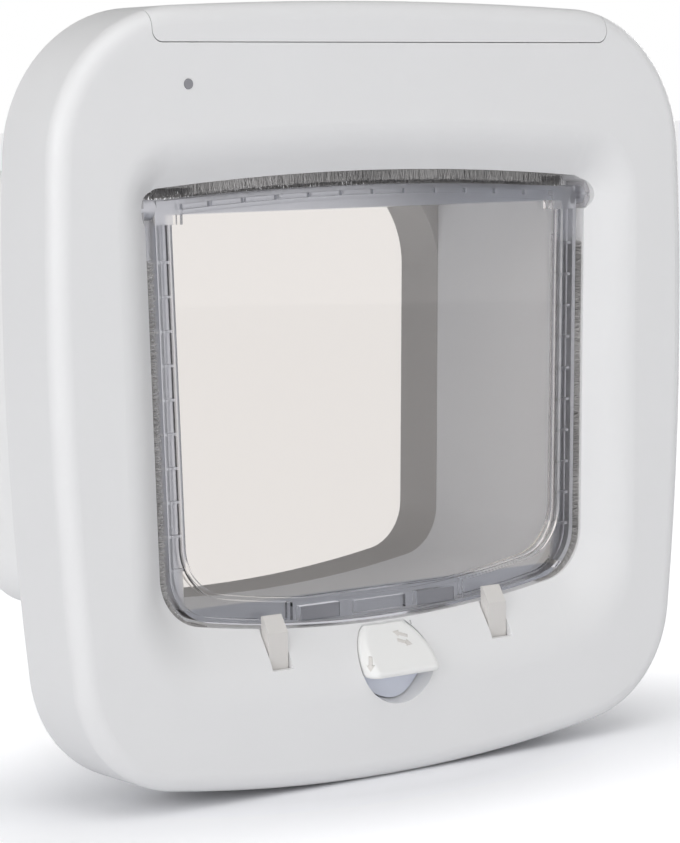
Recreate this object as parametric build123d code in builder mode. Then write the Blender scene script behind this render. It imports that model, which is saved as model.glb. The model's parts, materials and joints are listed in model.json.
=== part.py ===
from build123d import *

import os

os.makedirs("parts", exist_ok=True)

# Indoor cat flap. X runs to the right as seen from the room, Y out through the door, Z up.
# The origin is the middle of the four fixing screws, on the face that lies against the door.
# A "depth" is a distance in front of that face, towards the room, in millimetres.

# Housing outline, seen from the room
housing_width = 239.5
widest_height = 30.0
side_draw_top = 4.0
side_draw_bottom = 9.6
top_crown = 4.2
bottom_crown = 11.4
housing_bottom = 115.0
top_corner_radius = 45.0
bottom_corner_radius = 38.0

# Housing section
housing_depth = 29.0
housing_wall = 2.5
front_edge_radius = 5.5
rear_cover_thickness = 2.5
rear_cover_gap = 0.2

# Opening for the flap
aperture_half_top = 83.8
aperture_half_bottom = 80.8
aperture_top = 70.0
aperture_crown = 4.0
aperture_bottom = 68.0
aperture_sag = 8.0
aperture_top_radius = 5.0
aperture_bottom_radius = 16.0
rim_depth = 20.0
collar_wall = 2.0

# Dish round the opening
dish_side = 11.5
dish_top = 11.0
dish_bottom = 16.0
dish_top_radius = 18.0
dish_bottom_radius = 28.0
# Share of the dish's spread, and of its depth, at each section from the rim out to the front face
cove_steps = ((0.0, 0.0), (0.35, 0.40), (0.7, 0.76), (1.0, 0.94), (1.3, 1.0))
cove_backing = 1.2

# Tunnel through the door
tunnel_wall = 2.0
tunnel_reach = 55.5
tunnel_flange = 4.0
tunnel_flange_thickness = 2.0
tunnel_gap = 0.3
extension_reach = 20.0
extension_overlap = 8.0
extension_wall = 1.5
extension_fit = 0.2
extension_corner_radius = 33.0

# Flap
flap_thickness = 6.0
flap_web = 2.5
flap_web_back = 1.2
flap_side_gap = 3.5
flap_top_gap = 4.5
flap_bottom_gap = 0.9
flap_crown = 3.0
flap_top_radius = 4.0
flap_lip = 1.4
flap_rib = 1.2
flap_rib_height = 0.6
pane_side_rim = 6.2
pane_top_rim = 4.0
pane_bottom_rim = 7.8
pane_top_radius = 3.0
tooth_width = 0.8
tooth_height = 1.4
top_tooth_pitch = 12.0
side_tooth_pitch = 10.0
top_tooth_count = 11
side_tooth_count = 10

# Flap hinge
hinge_drop = 9.8
hinge_stub_radius = 3.0
hinge_stub_end_gap = 1.3
hinge_fit = 0.05
hinge_lug_width = 9.0
hinge_lug_rise = 2.6
hinge_lug_fall = 4.4
hinge_pocket_radius = 5.3
hinge_pocket_inset = 3.0
hinge_cup_wall = 1.6
hinge_pocket_floor = 11.0
bush_gap = 0.15

# Pile seals
brush_flap_gap = 0.5
brush_swing_gap = 1.2
brush_seat_gap = 0.05
brush_back = 9.5
brush_front_gap = 1.0
brush_top_half = 75.0
brush_side_top = 45.0
brush_side_foot = 64.0

# Magnets
magnet_length = 14.4
magnet_height = 4.2
magnet_thickness = 4.0
magnet_offset = 22.3
magnet_fit = 0.1
magnet_rise = 4.2
flap_bar_half = 33.0
flap_bar_setback = 1.0
bar_window_length = 20.0
bar_window_height = 4.0
bar_window_depth = 1.4
sill_magnet_depth = 10.0
sill_magnet_gap = 0.1

# Latches and their drive
latch_offset = 42.3
latch_width = 7.0
latch_overlap = 6.5
latch_flap_gap = 0.5
latch_tip = 0.8
latch_bevel_height = 5.0
latch_bevel_depth = 3.9
latch_wall_gap = 0.4
latch_slot_length = 9.4
latch_slot_gap = 0.4
latch_travel = 5.0
latch_foot_drop = 22.0
latch_foot_height = 6.0
latch_bar_thickness = 3.0
latch_bar_depth = 6.0
latch_bar_gap = 0.2
latch_guide_width = 5.0
latch_guide_offset = 30.0
latch_guide_spare = 2.0
solenoid_offset = 24.0
solenoid_axis_depth = 14.2
solenoid_width = 22.0
solenoid_plate = 1.5
solenoid_height = 12.0
solenoid_floor_gap = 4.5
coil_radius = 7.0
coil_gap = 0.1
plunger_radius = 3.0
plunger_fit = 0.1
plunger_length = 15.0
lug_width = 10.0
lug_height = 3.0
lug_front = 4.5
spring_radius = 4.3
spring_wire = 0.5
spring_turns = 4.0
spring_seat_gap = 0.1

# Rotary lock
knob_radius = 12.2
knob_flare = 3.2
knob_drop = 10.0
knob_gap = 0.4
knob_top_flat = 9.2
knob_seat = 0.2
knob_seat_gap = 0.3
knob_chord = 5.2
knob_base_setback = 0.6
knob_lap = 1.0
hood_proud = 6.0
hood_roof_rise = 1.1
hood_edge_radius = 3.0
hood_lip_radius = 1.2
scoop_radius = 9.5
scoop_drop = 8.5
scoop_proud = 4.2
knob_cup_wall = 1.9
knob_floor = 1.8
knob_shaft_radius = 3.5
knob_shaft_fit = 0.05
knob_shaft_end = 2.5
retainer_radius = 6.5
retainer_thickness = 2.2
retainer_gap = 0.3
retainer_fit = 0.02
detent_gap = 0.3
detent_thickness = 0.6
detent_width = 5.0
detent_half_length = 9.0
detent_foot = 3.0

# Batteries and their tray
cell_diameter = 14.5
cell_length = 50.5
cell_nub_radius = 2.75
cell_nub_length = 1.3
cell_gap = 0.4
tray_wall = 1.5
tray_seat_gap = 0.1
tray_lift = 3.0
contact_space = 3.5
contact_plate = 0.5
contact_width = 8.0
contact_touch_gap = 0.1
deck_thickness = 1.5
deck_front_gap = 2.4
deck_end_gap = 3.0
deck_below_cell = 2.2

# Battery cover
cover_half = 85.5
cover_front_height = 12.3
cover_back = 3.3
cover_wall = 2.2
cover_corner_radius = 3.5
cover_seam = 0.25
cover_headroom = 3.1
cover_tongue_offset = 62.0
cover_tongue_width = 12.0
cover_tongue_length = 5.0
cover_tongue_thickness = 1.6
cover_tongue_gap = 0.3

# Light, board and button
light_inset = 13.7
light_rise = 26.1
light_radius = 1.5
light_fit = 0.05
light_sleeve = 1.3
light_sleeve_length = 4.0
board_post_clearance = 1.5
board_tray_clearance = 4.5
board_height = 23.0
board_thickness = 1.6
board_standoff = 3.0
board_post_radius = 2.5
board_post_inset = 4.0
board_screw_radius = 1.0
board_screw_fit = 0.05
board_screw_length = 4.0
board_screw_head_radius = 2.0
board_screw_head = 1.2
led_size = 3.0
led_height = 1.6
led_gap = 0.2
chip_size = 8.0
chip_height = 1.5
button_inset = 8.0
button_radius = 3.5
button_fit = 0.1
button_proud = 2.0
button_travel = 1.0
button_stem_radius = 2.0
button_flange = 1.2
button_flange_thickness = 1.0
button_gap = 0.2
button_axis_depth = 11.0
switch_size = 6.0

# Reader coil
antenna_gap = 0.5
antenna_width = 4.0
antenna_height = 4.0
antenna_seat_gap = 0.1

# Fixings
fixing_inset = 19.75
fixing_rise = 80.0
fixing_hole_radius = 2.1
fixing_hole_depth = 14.0
fixing_boss_radius = 5.0
fixing_boss_floor = 2.5
screw_top_inset = 20.75
screw_top_drop = 23.4
screw_side_inset = 11.5
screw_bottom_inset = 28.75
screw_bottom_lift = 22.0
screw_radius = 1.5
screw_fit = 0.05
screw_length = 12.0
screw_head_radius = 2.9
screw_head = 1.5
screw_head_gap = 0.2
screw_post_wall = 2.0

# Values worked out from the ones above
housing_half = housing_width / 2
dish_height = aperture_top + dish_top
tray_bottom = dish_height + tray_lift
cell_pitch = cell_diameter + cell_gap
lower_row = tray_bottom + tray_wall + cell_gap / 2 + cell_diameter / 2
upper_row = lower_row + cell_pitch
cell_top = upper_row + cell_diameter / 2
housing_top = cell_top + cover_headroom + cover_wall
cover_seam_height = housing_top - cover_front_height
hinge_height = aperture_top - hinge_drop
hinge_depth = rim_depth - flap_thickness / 2
flap_back = rim_depth - flap_thickness
flap_half_top = aperture_half_top - flap_side_gap
flap_half_bottom = aperture_half_bottom - flap_side_gap
flap_top = aperture_top - flap_top_gap
flap_bottom = aperture_bottom - flap_bottom_gap
front_inside = housing_depth - housing_wall
flange_front = rear_cover_thickness + tunnel_flange_thickness
knob_height = -(aperture_bottom + knob_drop)
cell_depth = rear_cover_thickness + tray_seat_gap + tray_wall + cell_gap / 2 + cell_diameter / 2
deck_top = cell_top - deck_below_cell
well_half = cell_length + contact_space
board_left = housing_half - screw_top_inset - screw_radius - screw_post_wall - board_post_clearance
board_right = well_half + tray_wall + board_tray_clearance
board_bottom = tray_bottom
light_offset = board_right + light_inset
button_offset = board_right + button_inset
board_front = rear_cover_thickness + board_standoff + board_thickness
magnet_height_centre = magnet_rise - flap_bottom
latch_back = rim_depth + latch_flap_gap
latch_front = latch_back + latch_bevel_depth
latch_top = latch_overlap - aperture_bottom
foot_bottom = -(aperture_bottom + latch_foot_drop)
foot_top = foot_bottom + latch_foot_height
bar_front = latch_bar_depth + latch_bar_thickness

door_face = Plane.XZ


def at_depth(depth):
    return door_face.offset(depth)


# Closed outline of the housing: four bowed sides with large corners
def housing_outline(depth, grow=0.0):
    half = housing_half + grow
    top = housing_top + grow
    bottom = -housing_bottom - grow
    top_x = half - side_draw_top
    top_z = top - top_crown
    bottom_x = half - side_draw_bottom
    bottom_z = bottom + bottom_crown
    with BuildSketch(at_depth(depth)) as face:
        with BuildLine():
            ThreePointArc((-top_x, top_z), (0, top), (top_x, top_z))
            ThreePointArc((top_x, top_z), (half, widest_height), (bottom_x, bottom_z))
            ThreePointArc((bottom_x, bottom_z), (0, bottom), (-bottom_x, bottom_z))
            ThreePointArc((-bottom_x, bottom_z), (-half, widest_height), (-top_x, top_z))
        make_face()
        fillet(face.vertices().group_by(Axis.Y)[-1], top_corner_radius + grow)
        fillet(face.vertices().group_by(Axis.Y)[0], bottom_corner_radius + grow)
    return face.sketch


# Closed outline with an arched top, leaning sides and a bowed foot
def panel(depth, half_top, half_bottom, top, crown, bottom, sag, top_radius, bottom_radius, grow=0.0):
    top_x = half_top + grow
    top_z = top + grow - crown
    bottom_x = half_bottom + grow
    bottom_z = sag - bottom - grow
    with BuildSketch(at_depth(depth)) as face:
        with BuildLine():
            ThreePointArc((-top_x, top_z), (0, top + grow), (top_x, top_z))
            Line((top_x, top_z), (bottom_x, bottom_z))
            ThreePointArc((bottom_x, bottom_z), (0, -bottom - grow), (-bottom_x, bottom_z))
            Line((-bottom_x, bottom_z), (-top_x, top_z))
        make_face()
        fillet(face.vertices().group_by(Axis.Y)[-1], top_radius + grow)
        fillet(face.vertices().group_by(Axis.Y)[0], bottom_radius + grow)
    return face.sketch


def aperture(depth, grow=0.0):
    return panel(
        depth, aperture_half_top, aperture_half_bottom, aperture_top, aperture_crown,
        aperture_bottom, aperture_sag, aperture_top_radius, aperture_bottom_radius, grow,
    )


# Section through the cove of the dish, from the opening (share 0) out past its edge
def cove(depth, share):
    return panel(
        depth, aperture_half_top + dish_side * share, aperture_half_bottom + dish_side * share,
        aperture_top + dish_top * share, aperture_crown, aperture_bottom + dish_bottom * share, aperture_sag,
        aperture_top_radius + (dish_top_radius - aperture_top_radius) * share,
        aperture_bottom_radius + (dish_bottom_radius - aperture_bottom_radius) * share,
    )


def flap_outline(depth, grow=0.0):
    return panel(
        depth, flap_half_top, flap_half_bottom, flap_top, flap_crown,
        flap_bottom, aperture_sag, flap_top_radius, aperture_bottom_radius, grow,
    )


def pane_outline(depth, grow=0.0):
    return panel(
        depth, flap_half_top - pane_side_rim, flap_half_bottom - pane_side_rim,
        flap_top - pane_top_rim, flap_crown,
        flap_bottom - pane_bottom_rim, aperture_sag, pane_top_radius, aperture_bottom_radius, grow,
    )


# Window in the top of the housing that the battery cover fills
def cover_window(depth, grow=0.0):
    reach = housing_top + housing_wall
    with BuildSketch(at_depth(depth)) as face:
        with Locations((0, cover_seam_height - grow)):
            Rectangle(2 * (cover_half + grow), reach - cover_seam_height, align=(Align.CENTER, Align.MIN))
        fillet(face.vertices().group_by(Axis.Y)[0], cover_corner_radius)
    return face.sketch


screw_places = [
    (side * (housing_half - inset), height)
    for side in (-1, 1)
    for inset, height in (
        (screw_top_inset, housing_top - screw_top_drop),
        (screw_side_inset, 0.0),
        (screw_bottom_inset, screw_bottom_lift - housing_bottom),
    )
]
fixing_places = [
    (side * (housing_half - fixing_inset), height)
    for side in (-1, 1)
    for height in (-fixing_rise, fixing_rise)
]
hinge_pockets = [(side * (aperture_half_top - hinge_pocket_inset), hinge_height) for side in (-1, 1)]
board_posts = [
    (x, board_bottom + board_post_inset)
    for x in (board_post_inset - board_left, -board_right - board_post_inset)
]
post_back = rear_cover_thickness + screw_head_gap
light_height = aperture_top + light_rise
knob_pocket_floor = rim_depth + knob_seat
cup_back = knob_pocket_floor - knob_floor
knob_back = knob_pocket_floor + knob_seat_gap
hood_front = housing_depth + hood_proud

# Round section of the lock knob, which flares towards its front
def knob_disc(depth, gap=0.0):
    with BuildSketch(at_depth(depth)) as face:
        with Locations((0, knob_height)):
            Circle(knob_radius + gap + knob_flare * (depth - knob_back) / (hood_front - knob_back))
    return face.sketch


# Front housing: bezel shell with the dish, the collar round the flap and the seats for the works
with BuildPart() as front_housing:
    extrude(housing_outline(0), amount=housing_depth)
    fillet(front_housing.faces().sort_by(Axis.Y)[0].edges(), front_edge_radius)
    extrude(housing_outline(0, -housing_wall), amount=front_inside, mode=Mode.SUBTRACT)
    # Backing of the dish, the collar, and the cups, posts and sleeve that stand inside
    seat_depth = front_inside + housing_wall / 2
    loft([cove(seat_depth, cove_backing), aperture(rim_depth, collar_wall)], ruled=True)
    extrude(aperture(flange_front, collar_wall), amount=rim_depth - flange_front)
    loft([knob_disc(cup_back, knob_cup_wall), knob_disc(seat_depth, knob_cup_wall)], ruled=True)
    with BuildSketch(at_depth(hinge_pocket_floor - hinge_cup_wall)):
        with Locations(*hinge_pockets):
            Circle(hinge_pocket_radius + hinge_cup_wall)
    extrude(amount=seat_depth - hinge_pocket_floor)
    with BuildSketch(at_depth(post_back)):
        with Locations(*screw_places):
            Circle(screw_radius + screw_post_wall)
    extrude(amount=seat_depth - post_back)
    with BuildSketch(at_depth(front_inside - light_sleeve_length)):
        with Locations((-light_offset, light_height)):
            Circle(light_radius + light_sleeve)
    extrude(amount=seat_depth - front_inside + light_sleeve_length)
    # Dish and opening
    cove_depth = housing_depth - rim_depth
    loft([cove(rim_depth + cove_depth * rise, share) for share, rise in cove_steps], mode=Mode.SUBTRACT)
    extrude(aperture(0), amount=housing_depth, mode=Mode.SUBTRACT)
    # Window for the battery cover
    extrude(cover_window(cover_back, cover_seam), amount=housing_depth, mode=Mode.SUBTRACT)
    # Pockets that take the hinge stubs from the front
    with BuildSketch(at_depth(hinge_pocket_floor)):
        with Locations(*hinge_pockets):
            Circle(hinge_pocket_radius)
    extrude(amount=housing_depth - hinge_pocket_floor, mode=Mode.SUBTRACT)
    # Slots for the latch fingers
    with BuildSketch(at_depth(rim_depth)):
        with Locations(*[(side * latch_offset, latch_top) for side in (-1, 1)]):
            Rectangle(
                latch_width + 2 * latch_slot_gap, latch_overlap + latch_slot_length,
                align=(Align.CENTER, Align.MAX),
            )
    extrude(amount=housing_depth - rim_depth, mode=Mode.SUBTRACT)
    # Room behind the slots for the lowered fingers
    with BuildSketch(at_depth(rim_depth)):
        with Locations(*[(side * latch_offset, latch_top) for side in (-1, 1)]):
            Rectangle(
                latch_width + 2 * latch_slot_gap, latch_overlap + latch_foot_drop,
                align=(Align.CENTER, Align.MAX),
            )
    extrude(amount=latch_front + latch_wall_gap - rim_depth, mode=Mode.SUBTRACT)
    # Pocket and bearing of the lock knob
    loft(
        [knob_disc(knob_pocket_floor, knob_gap), knob_disc(hood_front, knob_gap)],
        ruled=True, mode=Mode.SUBTRACT,
    )
    with BuildSketch(at_depth(cup_back)):
        with Locations((0, knob_height)):
            Circle(knob_shaft_radius + knob_shaft_fit)
    extrude(amount=knob_floor, mode=Mode.SUBTRACT)
    # Holes for the light and the cover screws
    with BuildSketch(at_depth(0)):
        with Locations((-light_offset, light_height)):
            Circle(light_radius + light_fit)
    extrude(amount=housing_depth, mode=Mode.SUBTRACT)
    with BuildSketch(at_depth(post_back)):
        with Locations(*screw_places):
            Circle(screw_radius + screw_fit)
    extrude(amount=screw_length, mode=Mode.SUBTRACT)
front_housing.part.label = "front_housing"
export_step(front_housing.part, "parts/front_housing.step")

# Rear cover: plate that closes the shell, with bosses for the fixing screws and seats for the works
with BuildPart() as rear_cover:
    extrude(housing_outline(0, -housing_wall - rear_cover_gap), amount=rear_cover_thickness)
    extrude(aperture(0, tunnel_wall + tunnel_gap), amount=rear_cover_thickness, mode=Mode.SUBTRACT)
    with BuildSketch(at_depth(0)):
        with Locations(*fixing_places):
            Circle(fixing_boss_radius)
    extrude(amount=fixing_hole_depth + fixing_boss_floor)
    with BuildSketch(at_depth(0)):
        with Locations(*fixing_places):
            Circle(fixing_hole_radius)
    extrude(amount=fixing_hole_depth, mode=Mode.SUBTRACT)
    with BuildSketch(at_depth(0)):
        with Locations(*screw_places):
            Circle(screw_radius + screw_fit)
    extrude(amount=rear_cover_thickness, mode=Mode.SUBTRACT)
    with BuildSketch(at_depth(0)):
        with Locations(*screw_places):
            Circle(screw_head_radius + screw_head_gap)
    extrude(amount=screw_head, mode=Mode.SUBTRACT)
    # Guides that the latch bar slides on
    guide_top = foot_top + latch_guide_spare
    guide_bottom = foot_bottom - latch_travel - latch_guide_spare
    with BuildSketch(at_depth(rear_cover_thickness)):
        with Locations(*[(side * latch_guide_offset, (guide_top + guide_bottom) / 2) for side in (-1, 1)]):
            Rectangle(latch_guide_width, guide_top - guide_bottom)
    extrude(amount=latch_bar_depth - latch_bar_gap - rear_cover_thickness)
    # Posts for the control board
    with BuildSketch(at_depth(rear_cover_thickness)):
        with Locations(*board_posts):
            Circle(board_post_radius)
            Circle(board_screw_radius + board_screw_fit, mode=Mode.SUBTRACT)
    extrude(amount=board_standoff)
rear_cover.part.label = "rear_cover"
export_step(rear_cover.part, "parts/rear_cover.step")

# Tunnel: sleeve that lines the hole in the door, held by its flange
with BuildPart() as tunnel:
    extrude(aperture(flange_front, tunnel_wall), amount=-flange_front - tunnel_reach)
    extrude(aperture(rear_cover_thickness, tunnel_wall + tunnel_flange), amount=tunnel_flange_thickness)
    extrude(aperture(flange_front), amount=-flange_front - tunnel_reach, mode=Mode.SUBTRACT)
tunnel.part.label = "tunnel"
export_step(tunnel.part, "parts/tunnel.step")


# Far opening of the tunnel: the same width, with large corners at the top
def far_opening(depth):
    return panel(
        depth, aperture_half_top, aperture_half_bottom, aperture_top, aperture_crown,
        aperture_bottom, aperture_sag, extension_corner_radius, aperture_bottom_radius,
    )


# Tunnel extension: sleeve that slips over the far end of the tunnel
with BuildPart() as tunnel_extension:
    sleeve = tunnel_wall + extension_fit
    extrude(
        aperture(extension_overlap - tunnel_reach, sleeve + extension_wall),
        amount=-extension_overlap - extension_reach,
    )
    extrude(
        aperture(extension_overlap - tunnel_reach, sleeve),
        amount=-extension_overlap - extension_fit, mode=Mode.SUBTRACT,
    )
    extrude(far_opening(-tunnel_reach), amount=-extension_reach, mode=Mode.SUBTRACT)
tunnel_extension.part.label = "tunnel_extension"
export_step(tunnel_extension.part, "parts/tunnel_extension.step")

# Bottom bar of the flap, cut to its outline
with BuildPart() as flap_bar:
    extrude(flap_outline(flap_back), amount=flap_thickness - flap_bar_setback)
    with Locations((0, -hinge_depth, -flap_bottom)):
        Box(2 * flap_bar_half, 2 * flap_thickness, 2 * (pane_bottom_rim + flap_rib), mode=Mode.INTERSECT)


# Height of the flap's arched top edge, and half width of its leaning side
def flap_arch(x):
    return flap_top - flap_crown * (x / flap_half_top) ** 2


def flap_edge(z):
    top_z = flap_top - flap_crown
    bottom_z = aperture_sag - flap_bottom
    return flap_half_top + (flap_half_bottom - flap_half_top) * (top_z - z) / (top_z - bottom_z)


# Flap: clear panel with a lip, a groove with teeth, a bottom bar and hinge stubs
web_front = flap_back + flap_web_back + flap_web
stub_end = aperture_half_top - hinge_pocket_inset + hinge_pocket_radius - hinge_stub_end_gap
with BuildPart() as flap:
    extrude(flap_outline(flap_back), amount=flap_thickness)
    extrude(flap_outline(web_front, -flap_lip), amount=flap_thickness, mode=Mode.SUBTRACT)
    extrude(flap_outline(flap_back, -flap_lip), amount=flap_web_back, mode=Mode.SUBTRACT)
    # Rib round the clear pane
    extrude(pane_outline(flap_back, flap_rib), amount=flap_thickness - flap_rib_height)
    # Teeth across the groove
    tooth_depth = -(web_front + tooth_height / 2)
    side_tooth_length = pane_side_rim - flap_lip - flap_rib
    top_tooth_length = pane_top_rim - flap_lip - flap_rib
    for number in range(top_tooth_count):
        x = (number - (top_tooth_count - 1) / 2) * top_tooth_pitch
        with Locations((x, tooth_depth, flap_arch(x) - flap_lip - top_tooth_length / 2)):
            Box(tooth_width, tooth_height, top_tooth_length + flap_lip)
    for side in (-1, 1):
        for number in range(side_tooth_count):
            z = ((side_tooth_count - 1) / 2 - number) * side_tooth_pitch
            with Locations((side * (flap_edge(z) - flap_lip - side_tooth_length / 2), tooth_depth, z)):
                Box(side_tooth_length + flap_lip, tooth_height, tooth_width)
    # Clear pane, thinned from both sides
    extrude(pane_outline(web_front), amount=flap_thickness, mode=Mode.SUBTRACT)
    extrude(pane_outline(flap_back), amount=flap_web_back, mode=Mode.SUBTRACT)
    # Bottom bar with magnet pockets open to the back and a shallow window
    add(flap_bar.part)
    with BuildSketch(at_depth(flap_back)):
        with Locations(*[(side * magnet_offset, magnet_height_centre) for side in (-1, 1)]):
            Rectangle(magnet_length + 2 * magnet_fit, magnet_height + 2 * magnet_fit)
    extrude(amount=magnet_thickness + magnet_fit, mode=Mode.SUBTRACT)
    with BuildSketch(at_depth(rim_depth - flap_bar_setback - bar_window_depth)):
        with Locations((0, magnet_height_centre)):
            Rectangle(bar_window_length, bar_window_height)
    extrude(amount=bar_window_depth, mode=Mode.SUBTRACT)
    # Lugs and stubs of the hinge
    for side in (-1, 1):
        lug_x = side * (flap_half_top - hinge_lug_width / 2 - flap_lip / 2)
        with Locations((lug_x, -hinge_depth, hinge_height + (hinge_lug_rise - hinge_lug_fall) / 2)):
            Box(hinge_lug_width, flap_thickness, hinge_lug_rise + hinge_lug_fall)
        with BuildSketch(Plane.YZ.offset(side * (flap_half_top - hinge_lug_width / 2))):
            with Locations((-hinge_depth, hinge_height)):
                Circle(hinge_stub_radius)
        extrude(amount=side * (stub_end - flap_half_top + hinge_lug_width / 2))
flap.part.label = "flap"
export_step(flap.part, "parts/flap.step")

# Hinge bushes, seated in the pockets of the housing
for side, name in ((-1, "hinge_bush_left"), (1, "hinge_bush_right")):
    with BuildPart() as hinge_bush:
        with BuildSketch(at_depth(hinge_pocket_floor + bush_gap)):
            with Locations((side * (aperture_half_top - hinge_pocket_inset), hinge_height)):
                Circle(hinge_pocket_radius - bush_gap)
        extrude(amount=rim_depth - hinge_pocket_floor - bush_gap)
        with Locations((side * (aperture_half_top + bush_gap), -hinge_depth, hinge_height)):
            Box(
                2 * hinge_pocket_radius, 2 * rim_depth, 4 * hinge_pocket_radius,
                align=(Align.MIN if side > 0 else Align.MAX, Align.CENTER, Align.CENTER), mode=Mode.INTERSECT,
            )
        with BuildSketch(Plane.YZ):
            with Locations((-hinge_depth, hinge_height)):
                Circle(hinge_stub_radius + hinge_fit)
        extrude(amount=side * housing_half, mode=Mode.SUBTRACT)
    hinge_bush.part.label = name
    export_step(hinge_bush.part, f"parts/{name}.step")


# Pile seal in the gap between the collar and the flap, kept inside a box
def brush_seal(name, gap, centre, size):
    with BuildPart() as brush:
        extrude(aperture(brush_back, -brush_seat_gap), amount=rim_depth - brush_front_gap - brush_back)
        extrude(flap_outline(brush_back, gap), amount=rim_depth, mode=Mode.SUBTRACT)
        with Locations(centre):
            Box(*size, mode=Mode.INTERSECT)
    brush.part.label = name
    export_step(brush.part, f"parts/{name}.step")


brush_seal(
    "brush_top", brush_swing_gap, (0, -brush_back, aperture_top),
    (2 * brush_top_half, 2 * rim_depth, 2 * hinge_drop),
)
side_drop = brush_side_top + aperture_bottom
for side, name in ((-1, "brush_left"), (1, "brush_right")):
    brush_seal(
        name, brush_flap_gap,
        (side * (brush_side_foot + aperture_half_top) / 2, -brush_back, brush_side_top - side_drop / 2),
        (aperture_half_top - brush_side_foot, 2 * rim_depth, side_drop),
    )

# Magnets of the flap, and the ones under the sill that hold it shut
for side, name in ((-1, "left"), (1, "right")):
    with BuildPart() as flap_magnet:
        with BuildSketch(at_depth(flap_back)):
            with Locations((side * magnet_offset, magnet_height_centre)):
                Rectangle(magnet_length, magnet_height)
        extrude(amount=magnet_thickness)
    flap_magnet.part.label = f"flap_magnet_{name}"
    export_step(flap_magnet.part, f"parts/flap_magnet_{name}.step")
    with BuildPart() as sill_magnet:
        with BuildSketch(at_depth(sill_magnet_depth)):
            with Locations((side * magnet_offset, -(aperture_bottom + collar_wall + sill_magnet_gap))):
                Rectangle(magnet_length, magnet_height, align=(Align.CENTER, Align.MAX))
        extrude(amount=magnet_thickness)
    sill_magnet.part.label = f"sill_magnet_{name}"
    export_step(sill_magnet.part, f"parts/sill_magnet_{name}.step")

# Latch fingers: bevelled blades with a foot that reaches back to the latch bar
for side, name in ((-1, "latch_left"), (1, "latch_right")):
    with BuildPart() as latch:
        with BuildSketch(Plane.YZ.offset(side * latch_offset)):
            with BuildLine():
                Polyline(
                    (-latch_back, latch_top),
                    (-latch_back - latch_tip, latch_top),
                    (-latch_front, latch_top - latch_bevel_height),
                    (-latch_front, foot_bottom),
                    (-bar_front, foot_bottom),
                    (-bar_front, foot_top),
                    (-latch_back, foot_top),
                    close=True,
                )
            make_face()
        extrude(amount=latch_width / 2, both=True)
    latch.part.label = name
    export_step(latch.part, f"parts/{name}.step")

# Latch bar: carries both fingers and the lug that the plunger pulls
with BuildPart() as latch_bar:
    with BuildSketch(at_depth(latch_bar_depth)):
        with Locations((0, (foot_bottom + foot_top) / 2)):
            Rectangle(2 * latch_offset + latch_width, latch_foot_height)
    extrude(amount=latch_bar_thickness)
    with BuildSketch(at_depth(latch_bar_depth)):
        with Locations((solenoid_offset, foot_top)):
            Rectangle(lug_width, lug_height, align=(Align.CENTER, Align.MAX))
    extrude(amount=solenoid_axis_depth + lug_front - latch_bar_depth)
latch_bar.part.label = "latch_bar"
export_step(latch_bar.part, "parts/latch_bar.step")

# Solenoid: bent frame, coil, plunger and return spring
solenoid_bottom = solenoid_floor_gap - housing_bottom
solenoid_top = solenoid_bottom + solenoid_height
lug_bottom = foot_top - lug_height
frame_back = rear_cover_thickness + tray_seat_gap
with BuildPart() as solenoid_frame:
    with BuildSketch(at_depth(frame_back)):
        with Locations((solenoid_offset, solenoid_bottom)):
            Rectangle(solenoid_width, solenoid_height, align=(Align.CENTER, Align.MIN))
    extrude(amount=solenoid_axis_depth + coil_radius - frame_back)
    with BuildSketch(at_depth(frame_back + solenoid_plate)):
        with Locations((solenoid_offset, solenoid_bottom + solenoid_plate)):
            Rectangle(
                solenoid_width, solenoid_height - 2 * solenoid_plate, align=(Align.CENTER, Align.MIN),
            )
    extrude(amount=housing_depth, mode=Mode.SUBTRACT)
    with BuildSketch(Plane.XY.offset(solenoid_top)):
        with Locations((solenoid_offset, -solenoid_axis_depth)):
            Circle(plunger_radius + plunger_fit)
    extrude(amount=-solenoid_height / 2, mode=Mode.SUBTRACT)
solenoid_frame.part.label = "solenoid_frame"
export_step(solenoid_frame.part, "parts/solenoid_frame.step")

coil_height = solenoid_height - 2 * solenoid_plate - 2 * coil_gap
with BuildPart() as solenoid_coil:
    with BuildSketch(Plane.XY.offset(solenoid_bottom + solenoid_plate + coil_gap)):
        with Locations((solenoid_offset, -solenoid_axis_depth)):
            Circle(coil_radius)
            Circle(plunger_radius + 2 * plunger_fit, mode=Mode.SUBTRACT)
    extrude(amount=coil_height)
solenoid_coil.part.label = "solenoid_coil"
export_step(solenoid_coil.part, "parts/solenoid_coil.step")

with BuildPart() as solenoid_plunger:
    with BuildSketch(Plane.XY.offset(lug_bottom)):
        with Locations((solenoid_offset, -solenoid_axis_depth)):
            Circle(plunger_radius)
    extrude(amount=-plunger_length)
solenoid_plunger.part.label = "solenoid_plunger"
export_step(solenoid_plunger.part, "parts/solenoid_plunger.step")

spring_rise = lug_bottom - solenoid_top - 2 * spring_wire - 2 * spring_seat_gap
spring_base = (solenoid_offset, -solenoid_axis_depth, solenoid_top + spring_wire + spring_seat_gap)
with BuildPart() as latch_spring:
    with BuildLine() as coil_line:
        Helix(spring_rise / spring_turns, spring_rise, spring_radius, center=spring_base)
    with BuildSketch(Plane(origin=coil_line.line @ 0, z_dir=coil_line.line % 0)):
        RegularPolygon(spring_wire, 4)
    sweep(is_frenet=True)
latch_spring.part.label = "latch_spring"
export_step(latch_spring.part, "parts/latch_spring.step")

# Hood of the lock knob: flared round block under a sloping roof, cut straight along its lower edge
chord_height = knob_height - knob_chord
flat_height = knob_height + knob_top_flat

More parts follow.
